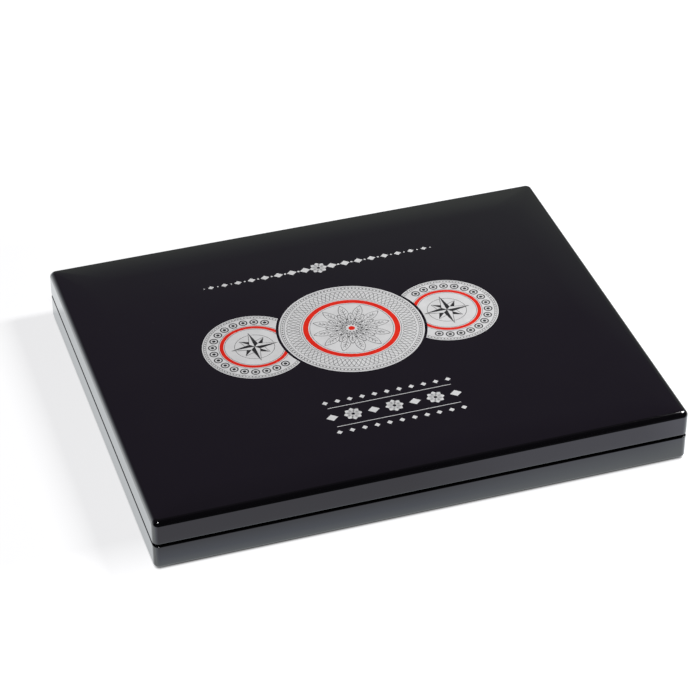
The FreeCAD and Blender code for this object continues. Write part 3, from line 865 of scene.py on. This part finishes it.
def draw_medal(medal, silver, lines, red, bead_count):
    """A silver field with a beaded rim and a red ring."""
    outline = medal.arc(medal.radius)
    if medal.cover:
        ends = [outline[-1], outline[0]]
        turns = [math.atan2(*(end - PRINT_CENTRE).yx) for end in ends]
        sweep_angle = (turns[1] - turns[0] + math.pi) % math.tau - math.pi
        for step in range(1, CIRCLE_STEPS):
            outline.append(polar(PRINT_CENTRE, medal.cover, turns[0] + sweep_angle * step / CIRCLE_STEPS))
    else:
        outline.pop()
    silver.fill(outline)
    for share in MEDAL_RIM_SHARES:
        medal.hair_ring(lines, share)
    bead = medal.radius * MEDAL_BEAD_SIZE_SHARE
    for number in range(bead_count):
        spot = medal.spot(MEDAL_BEAD_SHARE, number / bead_count)
        if medal.shows(spot, bead):
            lines.fill(dot(spot, bead))
    medal.ring(red, *RED_RING_SHARES)
    for share in RED_EDGE_SHARES:
        medal.hair_ring(lines, share)


def draw_braid(medal, lines):
    """Crossing waves round the medal's border."""
    for strand in range(BRAID_STRANDS):
        points = []
        for step in range(BRAID_STEPS):
            turn = math.tau * step / BRAID_STEPS
            swing = math.sin(BRAID_WAVES * turn + math.tau * strand / BRAID_STRANDS)
            share = BRAID_MIDDLE_SHARE + BRAID_SWING_SHARE * swing
            points.append(polar(medal.centre, medal.radius * share, turn))
        lines.band(*even_edges(points, HAIR_LINE))


def draw_rosette(medal, silver_over, lines, red):
    """Rows of veined petals round a red heart."""
    for row, shares in enumerate(ROSETTE_ROWS):
        start, stop, half_width = (medal.radius * share for share in shares)
        for number in range(ROSETTE_PETALS):
            angle = math.tau * (number + row / 2) / ROSETTE_PETALS
            draw_petal(medal.centre, angle, start, stop, half_width, silver_over[row], lines[row])
    red.fill(dot(medal.centre, medal.radius * HEART_SHARE))


def draw_petal(centre, angle, start, stop, half_width, silver, lines):
    """One petal: a silver leaf with a drawn edge, a midrib and veins."""
    outer = petal(centre, angle, start, stop, half_width)
    inner = petal(centre, angle, start + 2 * HAIR_LINE, stop - 2 * HAIR_LINE, half_width - HAIR_LINE)
    silver.fill(outer)
    lines.band(outer, inner)
    across = Vector((-math.sin(angle), math.cos(angle)))
    root = polar(centre, start, angle)
    for share in VEIN_SHARES:
        fork = polar(centre, start + (stop - start) * share, angle)
        lines.line(root, fork, HAIR_LINE)
        root = fork
        tip = polar(centre, start + (stop - start) * (share + 1) / 2, angle)
        for sign in (-1, 1):
            lines.line(root, root.lerp(tip, share) + across * sign * half_width * (1 - share), HAIR_LINE)


def draw_compass(medal, silver_over, lines):
    """A wind rose of two stars with half-shaded points."""
    medal.hair_ring(lines[0], COMPASS_RING_SHARE)
    for row, (shift, reach_share, waist_share) in enumerate(COMPASS_STARS):
        ink = lines[row + 1]
        for number in range(COMPASS_POINTS):
            angle = math.tau * (number + shift) / COMPASS_POINTS
            tip = polar(medal.centre, medal.radius * reach_share, angle)
            dark_side, light_side = (
                polar(medal.centre, medal.radius * waist_share, angle + sign * math.pi / COMPASS_POINTS)
                for sign in (-1, 1)
            )
            silver_over[row].fill([medal.centre, dark_side, tip, light_side])
            ink.fill([medal.centre, dark_side, tip])
            ink.line(tip, light_side, HAIR_LINE)
            ink.line(light_side, medal.centre, HAIR_LINE)


def draw_scallops(medal, lines):
    """Rings and dots between the red ring and the beaded rim."""
    outer, inner, centre = (medal.radius * share for share in SCALLOP_SIZE_SHARES)
    for number in range(SCALLOP_COUNT):
        spot = medal.spot(SCALLOP_SHARE, number / SCALLOP_COUNT)
        if medal.shows(spot, outer):
            lines.band(dot(spot, outer), dot(spot, inner))
            lines.fill(dot(spot, centre))


def draw_title(ink):
    """A row of diamonds and dots that runs out to both sides of a flower."""
    draw_flower(ink, Vector((0, TITLE_Y)))
    pitch = TITLE_HALF_LENGTH / TITLE_LOZENGES
    for number in range(1, TITLE_LOZENGES + 1):
        size = 1 - TITLE_TAPER_SHARE * number / TITLE_LOZENGES
        for sign in (-1, 1):
            ink.fill(lozenge(Vector((sign * pitch * number, TITLE_Y)), *(LARGE_LOZENGE * size)))
            ink.fill(dot(Vector((sign * pitch * (number + 0.5), TITLE_Y)), TITLE_DOT * size))


def draw_flower(ink, centre):
    """A small flower of plain petals."""
    for number in range(FLOWER_PETALS):
        ink.fill(petal(centre, math.tau * number / FLOWER_PETALS, *FLOWER_PETAL))


def draw_block(ink):
    """Two rules with flowers and diamonds between them, and rows of small diamonds outside."""
    for sign in (-1, 1):
        level = BLOCK_Y + sign * BLOCK_HALF_HEIGHT
        ink.line(Vector((-BLOCK_HALF_LENGTH, level)), Vector((BLOCK_HALF_LENGTH, level)), THIN_LINE)
        for x in row_places(BLOCK_LOZENGES, 2 * BLOCK_HALF_LENGTH / (BLOCK_LOZENGES - 1)):
            ink.fill(lozenge(Vector((x, BLOCK_Y + sign * BLOCK_ROW_HALF_HEIGHT)), *SMALL_LOZENGE))
    pitch = 2 * BLOCK_HALF_LENGTH / BLOCK_FLOWERS
    for x in row_places(BLOCK_FLOWERS, pitch):
        draw_flower(ink, Vector((x, BLOCK_Y)))
    for x in row_places(BLOCK_FLOWERS + 1, pitch):
        ink.fill(lozenge(Vector((x, BLOCK_Y)), *LARGE_LOZENGE))


def make_print():
    """Three medals between two rows of ornament, in silver, red and charcoal."""
    silver_mesh, line_mesh, red_mesh = bmesh.new(), bmesh.new(), bmesh.new()
    silver = [Ink(silver_mesh, 2 * layer) for layer in range(INK_LAYERS)]
    lines = [Ink(line_mesh, 2 * layer + 1) for layer in range(INK_LAYERS)]
    red = Ink(red_mesh, RED_LEVEL)
    middle = Medal(PRINT_CENTRE, MEDAL_RADIUS)
    draw_medal(middle, silver[0], lines[0], red, MEDAL_BEADS)
    draw_braid(middle, lines[0])
    draw_rosette(middle, silver[1:], lines[1:], red)
    for sign in (-1, 1):
        centre = PRINT_CENTRE + Vector((sign * SIDE_MEDAL_X, 0))
        side = Medal(centre, SIDE_MEDAL_RADIUS, cover=MEDAL_RADIUS + MEDAL_GAP)
        draw_medal(side, silver[0], lines[0], red, SIDE_MEDAL_BEADS)
        draw_scallops(side, lines[0])
        draw_compass(side, silver[1:], lines)
    draw_title(silver[0])
    draw_block(silver[0])
    for name, mesh, material in (
        ("silver", silver_mesh, silver_finish()),
        ("lines", line_mesh, line_finish()),
        ("red", red_mesh, red_finish()),
    ):
        settle(piece_from(f"lid_print_{name}", mesh, material), "lid")


# Tray, linings and felt

def cell_rings(centre, half_x, half_y, low, high):
    """Rings of one recess: its cell's outline, its lip, its wall and its cell's underside."""
    steps = 4 * RECESS_SIDE_STEPS
    turns = [math.pi / 2 * (step / RECESS_SIDE_STEPS - 1.5) for step in range(steps)]
    square = []
    for turn in turns:
        reach = 1 / max(abs(math.cos(turn)), abs(math.sin(turn)))
        square.append(centre + Vector((half_x * reach * math.cos(turn), half_y * reach * math.sin(turn))))
    rings = [at_height(square, high)]
    for across, down in quarter(LIP_STEPS):
        radius = RECESS_DIAMETER / 2 + RECESS_LIP * across
        circle = [polar(centre, radius, turn) for turn in turns]
        rings.append(at_height(circle, high - RECESS_LIP * down))
    return rings + [at_height(circle, low), at_height(square, low)]


def side_places(count, pitch):
    """Where the cells' edge points lie along one side of the tray's grid."""
    shares = [
        math.tan(math.pi / 4 * (2 * step / RECESS_SIDE_STEPS - 1)) for step in range(RECESS_SIDE_STEPS)
    ]
    return [middle + pitch / 2 * share for middle in row_places(count, pitch) for share in shares]


def grid_outline(column_pitch, row_pitch, half):
    """Points round the whole grid of cells, anticlockwise from the front left corner."""
    xs, ys = side_places(RECESS_COLUMNS, column_pitch), side_places(RECESS_ROWS, row_pitch)
    return (
        [Vector((x, -half.y)) for x in xs] + [Vector((half.x, y)) for y in ys]
        + [Vector((-x, half.y)) for x in xs] + [Vector((-half.x, -y)) for y in ys]
    )


def make_tray(material):
    """The flocked tray with its rows of round recesses."""
    low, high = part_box("coin_tray")
    column_pitch = (high.x - low.x + RECESS_DIAMETER) / (RECESS_COLUMNS + 1)
    row_pitch = (high.y - low.y + RECESS_DIAMETER) / (RECESS_ROWS + 1)
    mesh = bmesh.new()
    for x in row_places(RECESS_COLUMNS, column_pitch):
        for y in row_places(RECESS_ROWS, row_pitch):
            add_rows(mesh, cell_rings(Vector((x, y)), column_pitch / 2, row_pitch / 2, low.z, high.z))
    half = Vector((column_pitch * RECESS_COLUMNS, row_pitch * RECESS_ROWS)) / 2
    outline = grid_outline(column_pitch, row_pitch, half)
    rings = [at_height(outline, high.z)]
    for across, down in quarter(LIP_STEPS):
        inset = TRAY_EDGE_RADIUS * across
        factors = Vector(((high.x - inset) / half.x, (high.y - inset) / half.y))
        height = high.z - TRAY_EDGE_RADIUS * down
        rings.append([(point.x * factors.x, point.y * factors.y, height) for point in outline])
    rings.append([(x, y, low.z) for x, y, _ in rings[-1]])
    rings.append(at_height(outline, low.z))
    add_rows(mesh, rings)
    bmesh.ops.remove_doubles(mesh, verts=mesh.verts, dist=WELD_DISTANCE)
    piece = piece_from("flocked_coin_tray", mesh, material)
    smooth(piece)
    settle(piece, "base", ["coin_tray"])


def pad_grid(low, high):
    """The face of the satin pad as a grid of points, rolled back to the board at its edge."""
    columns = round((high.x - low.x) / PAD_GRID_STEP)
    rows = round((high.y - low.y) / PAD_GRID_STEP)
    depth = high.z - low.z - PAD_SLACK_ROOM
    points = []
    for row in range(rows + 1):
        y = low.y + (high.y - low.y) * row / rows
        line = []
        for column in range(columns + 1):
            place = Vector((low.x + (high.x - low.x) * column / columns, y, 0))
            rise = 1 - min(1.0, edge_distance(place, low, high) / PAD_ROLL_WIDTH)
            uneven = PAD_UNEVENNESS * noise.noise(place * PAD_UNEVEN_SCALE) * (1 - rise)
            place.z = high.z - depth * math.sqrt(1 - rise ** 2) + uneven
            line.append(place)
        points.append(line)
    mesh = bmesh.new()
    add_rows(mesh, points, closed=False)
    return mesh


def edge_distance(place, low, high):
    """How far a place lies inside the sides of a box."""
    return min(place.x - low.x, high.x - place.x, place.y - low.y, high.y - place.y)


def drape_pad(piece, low, high):
    """Let the slack satin settle into soft ripples over its foam."""
    rest = [vertex.co.copy() for vertex in piece.data.vertices]
    pins = piece.vertex_groups.new(name="pins")
    for number, place in enumerate(rest):
        at_edge = edge_distance(place, low, high) < PAD_GRID_STEP / 2
        pins.add([number], 1.0 if at_edge else PAD_FOAM_WEIGHT, "REPLACE")
    cloth = piece.modifiers.new("cloth", "CLOTH")
    settings = cloth.settings
    settings.vertex_group_mass = "pins"
    settings.pin_stiffness = 1.0
    settings.shrink_min = -PAD_STRETCH_SHARE
    settings.bending_stiffness = PAD_BENDING
    settings.effector_weights.gravity = 0
    cloth.point_cache.frame_end = PAD_FRAMES
    for number in range(1, PAD_FRAMES + 1):
        bpy.context.scene.frame_set(number)
    soft = piece.modifiers.new("soft", "SMOOTH")
    soft.iterations = PAD_SMOOTH_ROUNDS
    apply_modifiers(piece)
    bpy.context.scene.frame_set(1)
    piece.vertex_groups.clear()
    for vertex, place in zip(piece.data.vertices, rest):
        move = vertex.co - place
        if move.length > PAD_MOVE_LIMIT:
            vertex.co = place + move * (PAD_MOVE_LIMIT / move.length)


def make_pad(material):
    """The satin pad in the lid, closed at its back."""
    low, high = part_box("lid_satin_pad")
    piece = piece_from("satin_lid_pad", pad_grid(low, high), material)
    drape_pad(piece, low, high)
    closed = bmesh.new()
    closed.from_mesh(piece.data)
    bmesh.ops.holes_fill(closed, edges=[edge for edge in closed.edges if edge.is_boundary])
    bmesh.ops.recalc_face_normals(closed, faces=closed.faces)
    closed.to_mesh(piece.data)
    closed.free()
    smooth(piece, PAD_SHARP_ANGLE)
    settle(piece, "lid", ["lid_satin_pad"])


def make_felt(material):
    """The felt sheet under the base, a little uneven where it shows."""
    low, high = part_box("base_felt")
    rings = [felt_ring(high, 0, high.z)]
    for across, down in reversed(quarter(RIM_STEPS)):
        rings.append(felt_ring(high, FELT_EDGE_RADIUS * across, low.z + FELT_EDGE_RADIUS * down))
    count = int(high.y / FELT_RING_STEP) - 1
    rings += [felt_ring(high, FELT_RING_STEP * number, low.z) for number in range(1, count)]
    mesh = sweep(rings, FELT_SIDE_STEPS)
    for vertex in mesh.verts:
        if vertex.co.z < low.z + FELT_EDGE_RADIUS / 2:
            lift = noise.noise(vertex.co * FELT_UNEVEN_SCALE) / 2 + 0.5
            vertex.co.z += FELT_UNEVENNESS * max(0.0, lift)
    piece = piece_from("felt_sheet", mesh, material)
    smooth(piece)
    settle(piece, "base", ["base_felt"])


def felt_ring(high, inset, height):
    """A ring set in from the felt's outline."""
    radius = max(FELT_CORNER_RADIUS - inset, FELT_EDGE_RADIUS)
    return Ring(high.x - inset, high.y - inset, radius, height)


# Hardware

def dress_nodes(material, *names):
    """Give carried-over parts their finish."""
    for name in names:
        node = frame["nodes"][name]
        node.data.materials.clear()
        node.data.materials.append(material)


def dress_hardware():
    """Brass hinges and screws, and nickel magnets."""
    brass = metal_finish("polished_brass", dark=(0.62, 0.42, 0.15), light=(0.80, 0.58, 0.24), roughness=0.2)
    nickel = metal_finish("nickel_plate", dark=(0.52, 0.50, 0.46), light=(0.68, 0.66, 0.62), roughness=0.16)
    for hand in HANDS:
        for shell in (BASE, LID):
            dress_nodes(brass, f"{hand}_hinge_{shell.name}_leaf", f"{hand}_hinge_{shell.name}_screws")
            dress_nodes(nickel, f"{shell.name}_magnet_{hand}")
        dress_nodes(brass, f"{hand}_hinge_pin")


# Stage, lamps and camera

def aim(piece, target, azimuth, elevation, distance):
    """Put a lamp or camera round a target, by the angles of a view, and point it there."""
    level = math.cos(elevation)
    outward = Vector((math.sin(azimuth) * level, -math.cos(azimuth) * level, math.sin(elevation)))
    piece.location = target + distance * outward
    piece.rotation_mode = "QUATERNION"
    piece.rotation_quaternion = (target - piece.location).to_track_quat("-Z", "Y")


def add_lamp(name, azimuth, elevation, distance, size, power):
    """A soft lamp of a width and height that points at the case."""
    data = bpy.data.lights.new(name, "AREA")
    data.shape = "RECTANGLE"
    data.size, data.size_y = size
    data.energy = power
    aim(link(name, data), Vector((0, 0, PARTING)), azimuth, elevation, distance)


def add_camera():
    """The camera at the photograph's viewpoint."""
    data = bpy.data.cameras.new("camera")
    data.sensor_width = SENSOR_WIDTH
    data.lens = CAMERA_LENS
    data.clip_start = NEAR_CLIP
    data.clip_end = FAR_CLIP
    camera = link("camera", data)
    aim(camera, CAMERA_TARGET, CAMERA_AZIMUTH, CAMERA_ELEVATION, CAMERA_DISTANCE)
    camera.rotation_quaternion @= Quaternion((0, 0, 1), CAMERA_ROLL)
    bpy.context.scene.camera = camera


def corner_reach(nodes, position):
    """How far a place lies outside the rectangle between the centres of the case's corners."""
    def vector(operation, *sources):
        return nodes.add("VectorMath", dict(enumerate(sources)), operation=operation)

    centres = (HALF_WIDTH - CORNER_RADIUS, HALF_DEPTH - CORNER_RADIUS, 0.0)
    past = vector("SUBTRACT", vector("ABSOLUTE", position)["Vector"], centres)["Vector"]
    return vector("LENGTH", vector("MAXIMUM", past, (0.0, 0.0, 0.0))["Vector"])["Value"]


def seen_floor(nodes, position, y, camera_ray):
    """The white that the camera sees, held back near the case so its shadow shows, raised before the case
    as painted light, and gone under it as a painted contact shadow.
    """
    reach = corner_reach(nodes, position)
    shadow = [CORNER_RADIUS - depth for depth in CONTACT_SHADOW_DEPTHS]
    # Painted contact shadow: no white glow under the case's outline
    painted_contact_shadow_mask = nodes.combine(camera_ray, nodes.span(reach, shadow), "MULTIPLY")
    # Brighter glow before the case: painted light that lifts the case's shadow there
    near = nodes.span(y, (FLOOR_GLOW_FADE - HALF_DEPTH, -HALF_DEPTH), FLOOR_GLOW)
    far = nodes.span(reach, FAR_FLOOR_RANGE, (FLOOR_GLOW[0], 1.0))
    strength = nodes.combine(near, far, "MAXIMUM")
    return nodes.glow(FLOOR_TINT, nodes.combine(painted_contact_shadow_mask, strength, "MULTIPLY"))


def painted_front_reflection(nodes, x, y):
    """Painted reflection for the lacquer's front: a glow that fades to dark away from the case, and is
    paler towards the front's two ends.
    """
    forward = nodes.span(y, (-HALF_DEPTH, -HALF_DEPTH - PAINTED_FRONT_REFLECTION_LENGTH))
    both_stops = (PAINTED_FRONT_REFLECTION_STOPS, PAINTED_FRONT_END_REFLECTION_STOPS)
    middle, ends = (nodes.glow(nodes.colours(forward, stops)) for stops in both_stops)
    along = nodes.span(x, PAINTED_FRONT_REFLECTION_RANGE)
    end_share = nodes.colours(along, [(place, (share,) * 3) for place, share in PAINTED_FRONT_END_SHARES])
    return nodes.mix(end_share, middle, ends)


def floor_finish():
    """A pale floor that shows white round the case and keeps its shadow, with painted shade and light near
    the case and painted reflections that only glossy rays see.
    """
    material = bpy.data.materials.new("pale_floor")
    material.cycles.emission_sampling = "NONE"
    nodes = Nodes(material)
    nodes.tree.nodes.clear()
    rays = nodes.add("LightPath")
    position = nodes.add("NewGeometry")["Position"]
    x, y, _ = nodes.add("SeparateXYZ", {"Vector": position})
    surface = seen_floor(nodes, position, y, rays["Is Camera Ray"])
    diffuse = nodes.add("BsdfDiffuse", {"Color": FLOOR_COLOUR})[0]
    # Painted reflection for the sides and rear: a banded glow that only glossy rays see, added to the real
    # lit floor
    across = nodes.span(x, PAINTED_SIDE_REFLECTION_RANGE)
    painted_side_reflection = nodes.glow(nodes.colours(across, PAINTED_SIDE_REFLECTION_STOPS), rays["Is Glossy Ray"])
    for layer in (diffuse, painted_side_reflection):
        surface = nodes.add("AddShader", {0: surface, 1: layer})[0]
    # Before the case, glossy rays see the painted front reflection instead
    before_case = nodes.combine(y, -HALF_DEPTH, "LESS_THAN")
    painted_front_share = nodes.combine(before_case, rays["Is Glossy Ray"], "MULTIPLY")
    surface = nodes.mix(painted_front_share, surface, painted_front_reflection(nodes, x, y))
    nodes.add("OutputMaterial", {"Surface": surface})
    return material


def add_floor():
    """A wide level floor under the felt."""
    mesh = bmesh.new()
    bmesh.ops.create_grid(mesh, x_segments=1, y_segments=1, size=FLOOR_SIZE / 2)
    piece_from("floor", mesh, floor_finish())


def add_world():
    """A dim room with a pale window low at the left rear, that shows as white behind the case."""
    world = bpy.data.worlds.new("studio")
    bpy.context.scene.world = world
    nodes = Nodes(world)
    nodes.tree.nodes.clear()

    def room(colour):
        return nodes.add("Background", {"Color": colour})[0]

    direction = nodes.add("TexCoord")["Generated"]
    x, y, z = nodes.add("SeparateXYZ", {"Vector": direction})
    left, rear = (room(nodes.colours(z, stops)) for stops in (LEFT_SKY_STOPS, REAR_SKY_STOPS))
    behind = nodes.mix(nodes.span(x, LEFT_SKY_RANGE), rear, left)
    surroundings = nodes.mix(nodes.span(y, REAR_SKY_RANGE), room(FRONT_SKY), behind)
    seen = nodes.add("LightPath")["Is Camera Ray"]
    nodes.add("OutputWorld", {"Surface": nodes.mix(seen, surroundings, room(WHITE))})


def make_case():
    """All the pieces of the case."""
    lacquer = lacquer_finish()
    for shell in (BASE, LID):
        make_shell(shell, lacquer)
    make_print()
    velour = velour_finish()
    make_tray(velour)
    dress_nodes(velour, "tray_backing_board")
    dress_nodes(board_finish(), "lid_lining_board")
    make_pad(satin_finish())
    make_felt(felt_finish())
    dress_hardware()


def set_stage():
    """The floor, the light and the camera."""
    add_floor()
    add_world()
    add_lamp("key", **KEY_LAMP)
    add_lamp("front", **FRONT_LAMP)
    add_camera()
    bpy.context.scene.view_settings.view_transform = "Standard"


make_case()
set_stage()
